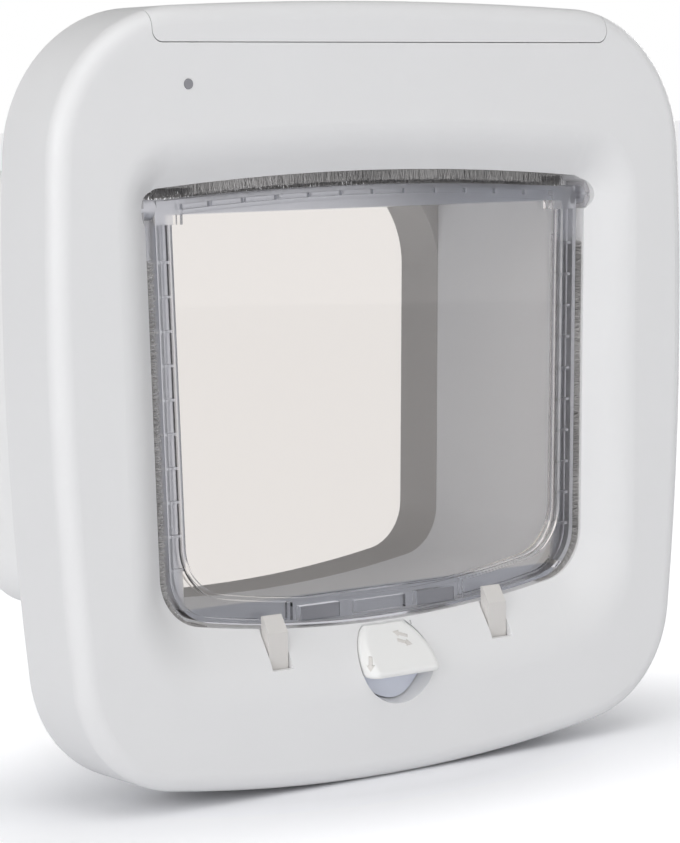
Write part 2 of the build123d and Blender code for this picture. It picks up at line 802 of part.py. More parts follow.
with BuildPart() as knob_hood:
    loft([knob_disc(knob_back), knob_disc(hood_front)], ruled=True)
    with BuildSketch(Plane.YZ):
        with BuildLine():
            Polyline(
                (-knob_back, chord_height),
                (-hood_front, chord_height),
                (-knob_back - hood_roof_rise, flat_height),
                (-knob_back, flat_height),
                close=True,
            )
        make_face()
    extrude(amount=2 * knob_radius, both=True, mode=Mode.INTERSECT)
    roof = knob_hood.faces().filter_by(GeomType.PLANE).sort_by(Axis.Y).filter_by(Axis.Z, reverse=True)[0]
    fillet(roof.edges().filter_by(GeomType.ELLIPSE), hood_edge_radius)
    fillet(knob_hood.edges().filter_by(Axis.X).sort_by(Axis.Y)[0], hood_lip_radius)

# Lock knob: lower part of a disc with a finger scoop, the hood above it and a shaft
with BuildPart() as lock_knob:
    loft([knob_disc(knob_back), knob_disc(housing_depth - knob_base_setback)], ruled=True)
    with Locations((0, -housing_depth, chord_height + knob_lap)):
        Box(
            4 * knob_radius, 2 * housing_depth, 2 * knob_radius,
            align=(Align.CENTER, Align.CENTER, Align.MIN), mode=Mode.SUBTRACT,
        )
    with Locations((0, -housing_depth - scoop_proud, knob_height - scoop_drop)):
        Cylinder(scoop_radius, 4 * knob_radius, rotation=(0, 90, 0), mode=Mode.SUBTRACT)
    add(knob_hood.part)
    with BuildSketch(at_depth(knob_back)):
        with Locations((0, knob_height)):
            Circle(knob_shaft_radius)
    extrude(amount=cup_back - retainer_gap - retainer_thickness - knob_shaft_end - knob_back)
lock_knob.part.label = "lock_knob"
export_step(lock_knob.part, "parts/lock_knob.step")

# Ring that keeps the knob in its cup
with BuildPart() as knob_retainer:
    with BuildSketch(at_depth(cup_back - retainer_gap)):
        with Locations((0, knob_height)):
            Circle(retainer_radius)
            Circle(knob_shaft_radius + retainer_fit, mode=Mode.SUBTRACT)
    extrude(amount=-retainer_thickness)
knob_retainer.part.label = "knob_retainer"
export_step(knob_retainer.part, "parts/knob_retainer.step")

# Leaf spring beside the ring, seated on the back of the cup
blade_top = knob_height - retainer_radius - detent_gap
blade_bottom = blade_top - detent_thickness
detent_seat = tray_seat_gap - cup_back
with BuildPart() as detent_spring:
    with BuildSketch(Plane.YZ):
        with BuildLine():
            Polyline(
                (detent_seat, blade_bottom - detent_foot),
                (detent_seat, blade_top),
                (detent_seat + detent_width, blade_top),
                (detent_seat + detent_width, blade_bottom),
                (detent_seat + detent_thickness, blade_bottom),
                (detent_seat + detent_thickness, blade_bottom - detent_foot),
                close=True,
            )
        make_face()
    extrude(amount=detent_half_length, both=True)
detent_spring.part.label = "detent_spring"
export_step(detent_spring.part, "parts/detent_spring.step")

# Battery tray: open well for the cells with a deck round its mouth
well_depth = cell_diameter + cell_gap
tray_back = rear_cover_thickness + tray_seat_gap
deck_bottom = deck_top - deck_thickness
with BuildPart() as battery_tray:
    with BuildSketch(at_depth(tray_back)):
        with Locations((0, tray_bottom)):
            Rectangle(2 * (well_half + tray_wall), deck_top - tray_bottom, align=(Align.CENTER, Align.MIN))
    extrude(amount=well_depth + 2 * tray_wall)
    with BuildSketch(at_depth(tray_back)):
        with Locations((0, deck_bottom)):
            Rectangle(2 * (cover_half - deck_end_gap), deck_thickness, align=(Align.CENTER, Align.MIN))
    extrude(amount=front_inside - deck_front_gap - tray_back)
    with BuildSketch(at_depth(tray_back + tray_wall)):
        with Locations((0, tray_bottom + tray_wall)):
            Rectangle(2 * well_half, housing_top, align=(Align.CENTER, Align.MIN))
    extrude(amount=well_depth, mode=Mode.SUBTRACT)
    with BuildSketch(Plane.XY.offset(deck_top)):
        with Locations((-button_offset, -button_axis_depth)):
            Circle(button_radius + button_fit)
    extrude(amount=-deck_thickness, mode=Mode.SUBTRACT)
battery_tray.part.label = "battery_tray"
export_step(battery_tray.part, "parts/battery_tray.step")

# Battery cells: two in the upper row, two in the lower row facing the other way
cell_places = [(side, row, way) for row, way in ((upper_row, -1), (lower_row, 1)) for side in (-1, 1)]
for number, (side, row, way) in enumerate(cell_places, 1):
    middle = side * (cell_length + contact_touch_gap) / 2
    with BuildPart() as battery_cell:
        with BuildSketch(Plane.YZ.offset(middle - way * cell_length / 2)):
            with Locations((-cell_depth, row)):
                Circle(cell_diameter / 2)
        extrude(amount=way * (cell_length - cell_nub_length))
        with BuildSketch(Plane.YZ.offset(middle)):
            with Locations((-cell_depth, row)):
                Circle(cell_nub_radius)
        extrude(amount=way * cell_length / 2)
    battery_cell.part.label = f"battery_cell_{number}"
    export_step(battery_cell.part, f"parts/battery_cell_{number}.step")


# Contact plate on an end wall of the well, with a raised leaf for each row it serves
def battery_contact(name, side, rows):
    plate_back = well_half - tray_seat_gap
    plate_front = plate_back - contact_plate
    touch = cell_length + 2 * contact_touch_gap
    half = contact_width / 2
    with BuildPart() as contact:
        with BuildSketch(at_depth(cell_depth - half)):
            with BuildLine():
                Polyline(
                    (side * plate_back, rows[0] - half),
                    (side * plate_front, rows[0] - half),
                    (side * plate_front, rows[-1] + half),
                    (side * plate_back, rows[-1] + half),
                    close=True,
                )
            make_face()
        extrude(amount=contact_width)
        for row in rows:
            with BuildSketch(at_depth(cell_depth - half / 2)):
                with BuildLine():
                    Polyline(
                        (side * plate_front, row - half / 2),
                        (side * touch, row - contact_plate),
                        (side * touch, row + contact_plate),
                        (side * plate_front, row + half / 2),
                        close=True,
                    )
                make_face()
            extrude(amount=half)
    contact.part.label = name
    export_step(contact.part, f"parts/{name}.step")


battery_contact("battery_bridge", -1, (lower_row, upper_row))
battery_contact("battery_terminal_lower", 1, (lower_row,))
battery_contact("battery_terminal_upper", 1, (upper_row,))

# Battery cover: top of the shell inside the window, with tongues behind the front wall
tongue_front = front_inside - cover_tongue_gap
tongue_back = tongue_front - cover_tongue_thickness
with BuildPart() as battery_cover:
    extrude(housing_outline(cover_back + cover_seam), amount=housing_depth - cover_back - cover_seam)
    fillet(battery_cover.faces().sort_by(Axis.Y)[0].edges(), front_edge_radius)
    extrude(housing_outline(0, -cover_wall), amount=housing_depth - cover_wall, mode=Mode.SUBTRACT)
    extrude(cover_window(0), amount=housing_depth, mode=Mode.INTERSECT)
    for side in (-1, 1):
        with BuildSketch(at_depth(tongue_back)):
            with Locations((side * cover_tongue_offset, cover_seam_height)):
                Rectangle(cover_tongue_width, 2 * cover_tongue_length)
        extrude(amount=cover_tongue_thickness)
        with BuildSketch(at_depth(tongue_back)):
            with Locations((side * cover_tongue_offset, cover_seam_height + cover_seam)):
                Rectangle(
                    cover_tongue_width, cover_tongue_length - cover_seam, align=(Align.CENTER, Align.MIN)
                )
        extrude(amount=housing_depth - cover_wall / 2 - tongue_back)
battery_cover.part.label = "battery_cover"
export_step(battery_cover.part, "parts/battery_cover.step")

# Control board with the light source, a chip and the switch under the button
switch_top = board_bottom + board_height
with BuildPart() as control_board:
    with BuildSketch(at_depth(rear_cover_thickness + board_standoff)):
        with Locations((-(board_left + board_right) / 2, board_bottom)):
            Rectangle(board_left - board_right, board_height, align=(Align.CENTER, Align.MIN))
        with Locations(*board_posts):
            Circle(board_screw_radius + board_screw_fit, mode=Mode.SUBTRACT)
    extrude(amount=board_thickness)
    with BuildSketch(at_depth(board_front)):
        with Locations((-light_offset, light_height)):
            Rectangle(led_size, led_size)
    extrude(amount=led_height)
    with BuildSketch(at_depth(board_front)):
        with Locations((-board_left + 1.2 * chip_size, light_height)):
            Rectangle(chip_size, chip_size)
    extrude(amount=chip_height)
    with BuildSketch(at_depth(board_front)):
        with Locations((-button_offset, switch_top)):
            Rectangle(switch_size, switch_size, align=(Align.CENTER, Align.MAX))
    extrude(amount=button_axis_depth + button_stem_radius - board_front)
control_board.part.label = "control_board"
export_step(control_board.part, "parts/control_board.step")

# Light pipe from the board to the front of the bezel
light_back = board_front + led_height + led_gap
with BuildPart() as light_pipe:
    with BuildSketch(at_depth(light_back)):
        with Locations((-light_offset, light_height)):
            Circle(light_radius)
    extrude(amount=housing_depth + led_gap - light_back)
light_pipe.part.label = "light_pipe"
export_step(light_pipe.part, "parts/light_pipe.step")

# Learn button: cap through the deck, flange under it and a stem over the switch
flange_top = deck_bottom - button_gap
stem_bottom = switch_top + button_travel + button_gap
with BuildPart() as learn_button:
    with BuildSketch(Plane.XY.offset(flange_top)):
        with Locations((-button_offset, -button_axis_depth)):
            Circle(button_radius)
    extrude(amount=deck_top + button_proud - flange_top)
    with BuildSketch(Plane.XY.offset(flange_top)):
        with Locations((-button_offset, -button_axis_depth)):
            Circle(button_radius + button_flange)
    extrude(amount=-button_flange_thickness)
    with BuildSketch(Plane.XY.offset(flange_top)):
        with Locations((-button_offset, -button_axis_depth)):
            Circle(button_stem_radius)
    extrude(amount=stem_bottom - flange_top)
learn_button.part.label = "learn_button"
export_step(learn_button.part, "parts/learn_button.step")

# Reader coil round the collar, on the tunnel's flange
coil_seat = flange_front + antenna_seat_gap
with BuildPart() as antenna_coil:
    extrude(aperture(coil_seat, collar_wall + antenna_gap + antenna_width), amount=antenna_height)
    extrude(aperture(coil_seat, collar_wall + antenna_gap), amount=antenna_height, mode=Mode.SUBTRACT)
antenna_coil.part.label = "antenna_coil"
export_step(antenna_coil.part, "parts/antenna_coil.step")


# A group of screws, driven towards the room or towards the door
def screws(name, places, head_depth, way, radius, length, head_radius, head):
    with BuildPart() as group:
        with BuildSketch(at_depth(head_depth)):
            with Locations(*places):
                Circle(head_radius)
        extrude(amount=way * head)
        with BuildSketch(at_depth(head_depth + way * head)):
            with Locations(*places):
                Circle(radius)
        extrude(amount=way * length)
    group.part.label = name
    export_step(group.part, f"parts/{name}.step")


screws("housing_screws", screw_places, 0, 1, screw_radius, screw_length, screw_head_radius, screw_head)
screws(
    "board_screws", board_posts, board_front + board_screw_head, -1,
    board_screw_radius, board_screw_length, board_screw_head_radius, board_screw_head,
)
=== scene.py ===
import bmesh
import bpy
import json
import numpy as np
from mathutils import Matrix, Vector


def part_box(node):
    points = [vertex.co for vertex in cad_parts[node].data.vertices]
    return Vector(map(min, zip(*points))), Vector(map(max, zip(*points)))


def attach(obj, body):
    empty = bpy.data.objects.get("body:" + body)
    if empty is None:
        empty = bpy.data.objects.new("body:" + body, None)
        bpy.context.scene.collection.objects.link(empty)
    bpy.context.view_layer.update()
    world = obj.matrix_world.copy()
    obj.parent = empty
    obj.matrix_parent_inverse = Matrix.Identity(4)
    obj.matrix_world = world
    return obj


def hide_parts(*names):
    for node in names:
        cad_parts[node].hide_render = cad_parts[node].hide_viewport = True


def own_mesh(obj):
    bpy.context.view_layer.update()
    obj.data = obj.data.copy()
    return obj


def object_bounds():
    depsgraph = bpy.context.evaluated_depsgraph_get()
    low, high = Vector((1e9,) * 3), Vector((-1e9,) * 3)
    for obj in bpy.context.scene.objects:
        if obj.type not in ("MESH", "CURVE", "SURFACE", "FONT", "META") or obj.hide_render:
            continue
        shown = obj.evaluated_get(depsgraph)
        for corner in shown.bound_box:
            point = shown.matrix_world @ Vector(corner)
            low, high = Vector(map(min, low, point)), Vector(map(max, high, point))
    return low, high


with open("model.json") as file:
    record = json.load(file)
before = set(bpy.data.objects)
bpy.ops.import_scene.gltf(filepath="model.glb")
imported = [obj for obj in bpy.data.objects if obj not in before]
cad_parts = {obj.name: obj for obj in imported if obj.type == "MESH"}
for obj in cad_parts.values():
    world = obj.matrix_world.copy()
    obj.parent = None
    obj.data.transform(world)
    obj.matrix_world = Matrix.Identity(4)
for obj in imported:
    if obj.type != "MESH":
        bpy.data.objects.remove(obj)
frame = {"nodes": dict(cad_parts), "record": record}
nodes = frame["nodes"]
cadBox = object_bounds()
print("frame loaded:", len(nodes), "nodes")

mm = 0.001
sameSpot = 0.0001  # millimetres: points nearer than this are one
rng = np.random.default_rng(20)  # the same pile every run


def meshFromArrays(name, points, faces, smooth=True):
    # points: N x 3 in millimetres, faces: M x 3 or M x 4 indices
    points = np.asarray(points, dtype=np.float64) * mm
    faces = np.asarray(faces, dtype=np.int32)
    mesh = bpy.data.meshes.new(name)
    mesh.vertices.add(len(points))
    mesh.vertices.foreach_set("co", points.ravel())
    mesh.loops.add(faces.size)
    mesh.loops.foreach_set("vertex_index", faces.ravel())
    mesh.polygons.add(len(faces))
    mesh.polygons.foreach_set("loop_start", np.arange(0, faces.size, faces.shape[1], dtype=np.int32))
    mesh.polygons.foreach_set("use_smooth", np.full(len(faces), smooth))
    mesh.update(calc_edges=True)
    mesh.validate()
    obj = bpy.data.objects.new(name, mesh)
    bpy.context.scene.collection.objects.link(obj)
    return obj


def gridFaces(rows, columns, first=0):
    # quads of a rows x columns grid of points
    cell = first + (np.arange(rows - 1)[:, None] * columns + np.arange(columns - 1)).ravel()
    return np.column_stack([cell, cell + columns, cell + columns + 1, cell + 1])


def triangles(quads):
    # each quad cut along its first diagonal
    return np.concatenate([quads[:, [0, 1, 2]], quads[:, [0, 2, 3]]])


def closeSeams(obj, turnOut=True):
    # doubled points along seams and at poles become one, and the faces of a closed shell turn outwards
    shell = bmesh.new()
    shell.from_mesh(obj.data)
    bmesh.ops.remove_doubles(shell, verts=shell.verts, dist=sameSpot * mm)
    if turnOut:
        bmesh.ops.recalc_face_normals(shell, faces=shell.faces)
    shell.to_mesh(obj.data)
    shell.free()


def unit(vector):
    return np.asarray(vector) / np.linalg.norm(vector)


# Finishes
def newMaterial(name):
    mat = bpy.data.materials.new(name)
    mat.use_nodes = True
    tree = mat.node_tree
    return mat, tree, tree.nodes["Principled BSDF"]


def addNode(tree, kind, **values):
    # values are settings of the node, or of its inputs
    node = tree.nodes.new(kind)
    for key, value in values.items():
        if hasattr(node, key):
            setattr(node, key, value)
        else:
            node.inputs[key].default_value = value
    return node


def newGroup(name, inputs, outputs):
    group = bpy.data.node_groups.new(name, "ShaderNodeTree")
    for socketName, kind, default in inputs:
        socket = group.interface.new_socket(socketName, in_out="INPUT", socket_type=kind)
        socket.default_value = default
    for socketName, kind in outputs:
        group.interface.new_socket(socketName, in_out="OUTPUT", socket_type=kind)
    return group, group.nodes.new("NodeGroupInput"), group.nodes.new("NodeGroupOutput")


def placeGroup(tree, group, **values):
    node = tree.nodes.new("ShaderNodeGroup")
    node.node_tree = group
    for key, value in values.items():
        node.inputs[key].default_value = value
    return node


def mathNode(tree, operation, first, second):
    # one sum on two sockets or numbers
    node = addNode(tree, "ShaderNodeMath", operation=operation)
    for socket, value in zip(node.inputs, (first, second)):
        if isinstance(value, (int, float)):
            socket.default_value = value
        else:
            tree.links.new(value, socket)
    return node.outputs[0]


def rangeOf(tree, value, limits, interpolation="LINEAR"):
    # carries value from the first two limits to the last two, or to 0 and 1
    node = addNode(tree, "ShaderNodeMapRange", interpolation_type=interpolation)
    for socket, limit in zip(("From Min", "From Max", "To Min", "To Max"), limits):
        node.inputs[socket].default_value = limit
    tree.links.new(value, node.inputs["Value"])
    return node.outputs["Result"]


def axesOf(tree, coordinates="Object"):
    coords = tree.nodes.new("ShaderNodeTexCoord")
    split = tree.nodes.new("ShaderNodeSeparateXYZ")
    tree.links.new(coords.outputs[coordinates], split.inputs[0])
    return split.outputs


def maskAlong(tree, axis, start, end):
    # 0 before start and 1 after end, millimetres along an axis, alike on both sides of the middle
    away = mathNode(tree, "ABSOLUTE", axesOf(tree)[axis], 0.0)
    return rangeOf(tree, away, (start * mm, end * mm))


def mixColor(tree, mask, first, second):
    # first where the mask is 0 and second where it is 1; either may be a socket
    mix = addNode(tree, "ShaderNodeMix", data_type="RGBA")
    tree.links.new(mask, mix.inputs[0])
    for socket, value in zip((mix.inputs[6], mix.inputs[7]), (first, second)):
        if isinstance(value, tuple):
            socket.default_value = (*value, 1)
        else:
            tree.links.new(value, socket)
    return mix.outputs[2]


def mixShader(tree, share, first, second):
    mix = tree.nodes.new("ShaderNodeMixShader")
    for socket, value in zip(mix.inputs, (share, first, second)):
        tree.links.new(value, socket)
    return mix.outputs[0]


grainLook = {
    "cloud": 38.0,  # scale of the slow noise, a metre
    "cloudDetail": 4.0,
    "fineDetail": 2.0,
    "relief": 0.00005,  # metres
}


def mouldedGrainGroup():
    # mould grain: a slow noise shifts tone and roughness, a fine one gives the height
    group, start, end = newGroup(
        "mouldedGrain",
        [
            ("Color", "NodeSocketColor", (0.8, 0.8, 0.8, 1)),
            ("Tone", "NodeSocketFloat", 0.02),
            ("Roughness", "NodeSocketFloat", 0.35),
            ("Spread", "NodeSocketFloat", 0.06),
            ("Grain", "NodeSocketFloat", 1800.0),
        ],
        [("Color", "NodeSocketColor"), ("Roughness", "NodeSocketFloat"), ("Height", "NodeSocketFloat")],
    )
    link = group.links.new
    coords = group.nodes.new("ShaderNodeTexCoord")
    cloud = addNode(group, "ShaderNodeTexNoise", Scale=grainLook["cloud"], Detail=grainLook["cloudDetail"])
    grain = addNode(group, "ShaderNodeTexNoise", Detail=grainLook["fineDetail"])
    link(coords.outputs["Object"], cloud.inputs["Vector"])
    link(coords.outputs["Object"], grain.inputs["Vector"])
    link(start.outputs["Grain"], grain.inputs["Scale"])
    centred = mathNode(group, "SUBTRACT", cloud.outputs["Fac"], 0.5)
    tone = addNode(group, "ShaderNodeMath", operation="MULTIPLY_ADD")
    tone.inputs[2].default_value = 1.0
    link(centred, tone.inputs[0])
    link(start.outputs["Tone"], tone.inputs[1])
    shade = addNode(group, "ShaderNodeVectorMath", operation="SCALE")
    link(start.outputs["Color"], shade.inputs[0])
    link(tone.outputs[0], shade.inputs["Scale"])
    rough = addNode(group, "ShaderNodeMath", operation="MULTIPLY_ADD")
    link(centred, rough.inputs[0])
    link(start.outputs["Spread"], rough.inputs[1])
    link(start.outputs["Roughness"], rough.inputs[2])
    link(shade.outputs[0], end.inputs["Color"])
    link(rough.outputs[0], end.inputs["Roughness"])
    link(grain.outputs["Fac"], end.inputs["Height"])
    return group


mouldedGrain = mouldedGrainGroup()


def plastic(name, color, roughness, spec=0.5, tone=0.03, bump=0.05, grain=1800.0):
    mat, tree, shader = newMaterial(name)
    skin = placeGroup(tree, mouldedGrain, Color=(*color, 1), Tone=tone, Roughness=roughness, Grain=grain)
    relief = addNode(tree, "ShaderNodeBump", Strength=bump, Distance=grainLook["relief"])
    tree.links.new(skin.outputs["Color"], shader.inputs["Base Color"])
    tree.links.new(skin.outputs["Roughness"], shader.inputs["Roughness"])
    tree.links.new(skin.outputs["Height"], relief.inputs["Height"])
    tree.links.new(relief.outputs["Normal"], shader.inputs["Normal"])
    shader.inputs["Specular IOR Level"].default_value = spec
    return mat


def metal(name, color, roughness, tone=0.15, spread=0.2):
    mat, tree, shader = newMaterial(name)
    skin = placeGroup(tree, mouldedGrain, Color=(*color, 1), Tone=tone, Roughness=roughness, Spread=spread)
    tree.links.new(skin.outputs["Color"], shader.inputs["Base Color"])
    tree.links.new(skin.outputs["Roughness"], shader.inputs["Roughness"])
    shader.inputs["Metallic"].default_value = 1.0
    return mat


def grainOf(mat):
    return next(node for node in mat.node_tree.nodes if node.type == "GROUP")


panelLook = {
    "paneTint": (0.83, 0.81, 0.79),
    "rimTint": (0.58, 0.592, 0.638),
    "paneRoughness": 0.02,
    "rimRoughness": 0.40,
    "barRoughness": 0.06,  # the bottom bar, where the magnets show
    "haze": 0.02,
    "ior": 1.49,
    "paneHalf": 72.6,  # half width at mid height, millimetres
    "paneSlope": 0.0238,
    "paneTop": 58.6,
    "paneBottom": -57.5,
    "rimBlend": 0.3,
    "barBlend": 1.0,
}


def clearPanel():
    # clear pane inside a greyer moulded rim: the mask is how far a point lies outside the pane's edges
    look = panelLook
    mat, tree, shader = newMaterial("clearPanel")
    axes = axesOf(tree)
    x = mathNode(tree, "ABSOLUTE", axes["X"], 0.0)
    z = axes["Z"]
    slope = mathNode(tree, "MULTIPLY", z, look["paneSlope"])
    beside = mathNode(tree, "SUBTRACT", mathNode(tree, "SUBTRACT", x, slope), look["paneHalf"] * mm)
    above = mathNode(tree, "SUBTRACT", z, look["paneTop"] * mm)
    below = mathNode(tree, "SUBTRACT", look["paneBottom"] * mm, z)
    outside = mathNode(tree, "MAXIMUM", beside, mathNode(tree, "MAXIMUM", above, below))
    blend = look["rimBlend"] * mm
    rim = rangeOf(tree, outside, (-blend, blend), "SMOOTHSTEP")
    tint = mixColor(tree, rim, look["paneTint"], look["rimTint"])
    tree.links.new(tint, shader.inputs["Base Color"])
    haze = placeGroup(tree, mouldedGrain, Roughness=0.0, Spread=look["haze"])
    rough = rangeOf(tree, rim, (0.0, 1.0, look["paneRoughness"], look["rimRoughness"]))
    smoothing = look["barRoughness"] - look["rimRoughness"]
    bar = rangeOf(tree, below, (-look["barBlend"] * mm, 0.0, 0.0, smoothing))
    total = mathNode(tree, "ADD", mathNode(tree, "ADD", rough, bar), haze.outputs["Roughness"])
    tree.links.new(total, shader.inputs["Roughness"])
    shader.inputs["Transmission Weight"].default_value = 1.0
    shader.inputs["IOR"].default_value = look["ior"]
    light = tree.nodes.new("ShaderNodeBsdfTransparent")  # lets the studio light into the tunnel
    light.inputs["Color"].default_value = (*look["paneTint"], 1)
    path = tree.nodes.new("ShaderNodeLightPath")
    surface = mixShader(tree, path.outputs["Is Shadow Ray"], shader.outputs[0], light.outputs[0])
    tree.links.new(surface, tree.nodes["Material Output"].inputs["Surface"])
    return mat


windingLook = {
    "wire": (0.42, 0.15, 0.045),
    # painted shade: the darker tone in the grooves of the coil
    "between": (0.13, 0.045, 0.015),
    "turnsPerMetre": 2600.0,
    "bandsAtScaleOne": 3.18,  # bands a metre that the wave gives at scale 1
    "wander": 0.4,
    "groove": 0.0001,  # metres
    "grooveStrength": 0.5,
    "roughness": 0.3,
}


def winding(name, axis):
    # turns of enamelled wire: bands across one axis of the coil, with painted shade darkening the grooves
    # that part them
    look = windingLook
    mat, tree, shader = newMaterial(name)
    coords = tree.nodes.new("ShaderNodeTexCoord")
    bands = addNode(tree, "ShaderNodeTexWave", bands_direction=axis, Distortion=look["wander"])
    bands.inputs["Scale"].default_value = look["turnsPerMetre"] / look["bandsAtScaleOne"]
    tree.links.new(coords.outputs["Object"], bands.inputs["Vector"])
    color = mixColor(tree, bands.outputs["Fac"], look["between"], look["wire"])
    relief = addNode(tree, "ShaderNodeBump", Strength=look["grooveStrength"], Distance=look["groove"])
    tree.links.new(color, shader.inputs["Base Color"])
    tree.links.new(bands.outputs["Fac"], relief.inputs["Height"])
    tree.links.new(relief.outputs["Normal"], shader.inputs["Normal"])
    shader.inputs["Roughness"].default_value = look["roughness"]
    return mat


cellLook = {
    "wrap": (0.10, 0.22, 0.26),
    "band": (0.62, 0.64, 0.64),
    "cap": (0.62, 0.62, 0.63),
    "bandFrom": (38.0, 38.2),  # where each begins, millimetres from the middle of the tray
    "outerCap": (48.6, 48.7),
    "innerCap": (0.6, 0.7),
}


def cellWrap():
    # printed wrap with a pale band near the outer end, and bare plated ends
    look = cellLook
    mat = plastic("cellWrap", look["wrap"], 0.28, tone=0.08)
    tree = mat.node_tree
    band = mixColor(tree, maskAlong(tree, "X", *look["bandFrom"]), look["wrap"], look["band"])
    outer = maskAlong(tree, "X", *look["outerCap"])
    inner = mathNode(tree, "SUBTRACT", 1.0, maskAlong(tree, "X", *look["innerCap"]))
    bare = mathNode(tree, "MAXIMUM", outer, inner)
    tree.links.new(mixColor(tree, bare, band, look["cap"]), grainOf(mat).inputs["Color"])
    tree.links.new(bare, tree.nodes["Principled BSDF"].inputs["Metallic"])
    return mat


boardLook = {
    "mask": (0.02, 0.13, 0.055),
    "trace": (0.045, 0.22, 0.10),
    "chip": (0.035, 0.035, 0.04),
    "chipFrom": (7.3, 7.4),  # millimetres in front of the door face
    "traceScale": 110.0,
    "traceWidth": 0.035,
}


def boardGreen():
    # solder mask with paler traces on a grid, and dark components that stand off its face
    look = boardLook
    mat = plastic("boardGreen", look["mask"], 0.35, tone=0.1)
    tree = mat.node_tree
    coords = tree.nodes.new("ShaderNodeTexCoord")
    turn = addNode(tree, "ShaderNodeMapping")
    turn.inputs["Rotation"].default_value = (np.pi / 2, 0, 0)
    traces = addNode(tree, "ShaderNodeTexBrick", Scale=look["traceScale"])
    traces.inputs["Mortar Size"].default_value = look["traceWidth"]
    tree.links.new(coords.outputs["Object"], turn.inputs["Vector"])
    tree.links.new(turn.outputs["Vector"], traces.inputs["Vector"])
    face = mixColor(tree, traces.outputs["Fac"], look["mask"], look["trace"])
    chips = maskAlong(tree, "Y", *look["chipFrom"])
    tree.links.new(mixColor(tree, chips, face, look["chip"]), grainOf(mat).inputs["Color"])
    return mat


knobLook = {
    "white": (0.86, 0.86, 0.85),
    "scoop": (0.74, 0.77, 0.86),
    "hoodFrom": (26.5, 28.5),  # millimetres in front of the door face
    "scoopFrom": (82.0, 84.0),  # millimetres below the middle
}


def knobWhite():
    # white cap with painted shade: a cooler, bluish tint where the hollow lies back under the hood, standing
    # in for its shadow
    look = knobLook
    mat = plastic("knobWhite", look["white"], 0.34)
    tree = mat.node_tree
    deep = mathNode(tree, "SUBTRACT", 1.0, maskAlong(tree, "Y", *look["hoodFrom"]))
    low = maskAlong(tree, "Z", *look["scoopFrom"])
    # painted shade: the cooler tint covers what lies back from the hood and far below the knob's middle
    scoop = mathNode(tree, "MULTIPLY", deep, low)
    tree.links.new(mixColor(tree, scoop, look["white"], look["scoop"]), grainOf(mat).inputs["Color"])
    return mat


extensionLook = {
    # inside is painted shade, outside is the sleeve's own white
    "inside": (0.48, 0.47, 0.47),
    "outside": (0.90, 0.90, 0.90),
    "inwards": -0.0005,
    "roomwards": -0.5,
}


def paintedExtensionShade():
    # the far sleeve: painted shade, grey where a face looks at the passage or the room, standing in for the
    # shadow inside the tunnel; white elsewhere
    look = extensionLook
    mat = plastic("extensionPaintedShade", look["inside"], 0.5)
    tree = mat.node_tree
    coords = tree.nodes.new("ShaderNodeTexCoord")
    level = addNode(tree, "ShaderNodeVectorMath", operation="MULTIPLY")
    level.inputs[1].default_value = (1, 0, 1)
    across = addNode(tree, "ShaderNodeVectorMath", operation="DOT_PRODUCT")  # below 0 on the inside
    tree.links.new(coords.outputs["Object"], level.inputs[0])
    tree.links.new(level.outputs["Vector"], across.inputs[0])
    tree.links.new(coords.outputs["Normal"], across.inputs[1])
    inwards = mathNode(tree, "LESS_THAN", across.outputs["Value"], look["inwards"])
    roomwards = mathNode(tree, "LESS_THAN", axesOf(tree, "Normal")["Y"], look["roomwards"])
    shown = mathNode(tree, "MAXIMUM", inwards, roomwards)
    color = mixColor(tree, shown, look["outside"], look["inside"])
    tree.links.new(color, grainOf(mat).inputs["Color"])
    return mat


finishes = {
    "white_shell": plastic("shellWhite", (0.79, 0.79, 0.795), 0.36),
    "white_tunnel": plastic("tunnelWhite", (0.86, 0.88, 0.92), 0.42),
    "white_knob": knobWhite(),
    "clear_panel": clearPanel(),
    "bush": plastic("bushGrey", (0.47, 0.46, 0.48), 0.45),
    "pile": plastic("pileGrey", (0.48, 0.47, 0.465), 0.9, spec=0.1, tone=1.2, grain=900.0),
    "magnet": plastic("magnetDark", (0.50, 0.50, 0.505), 0.5, tone=0.8),
    "latch": plastic("latchIvory", (0.68, 0.66, 0.64), 0.45),
    "steel": metal("platedSteel", (0.62, 0.62, 0.63), 0.32),
    "winding": winding("readerWinding", "Y"),
    "cell": cellWrap(),
    "board": boardGreen(),
    "light": plastic("lightLens", (0.27, 0.27, 0.29), 0.25),
}
ownFinishes = {  # nodes that differ from the rest of their slot
    "tunnel_extension": paintedExtensionShade(),
    "solenoid_coil": winding("solenoidWinding", "Z"),
}

for part in frame["record"]["subparts"]:
    node = nodes[part["node"]]
    node.data.materials.clear()
    node.data.materials.append(ownFinishes.get(part["node"], finishes[part["material_slot"]]))
print("finishes set:", len(finishes) + len(ownFinishes))

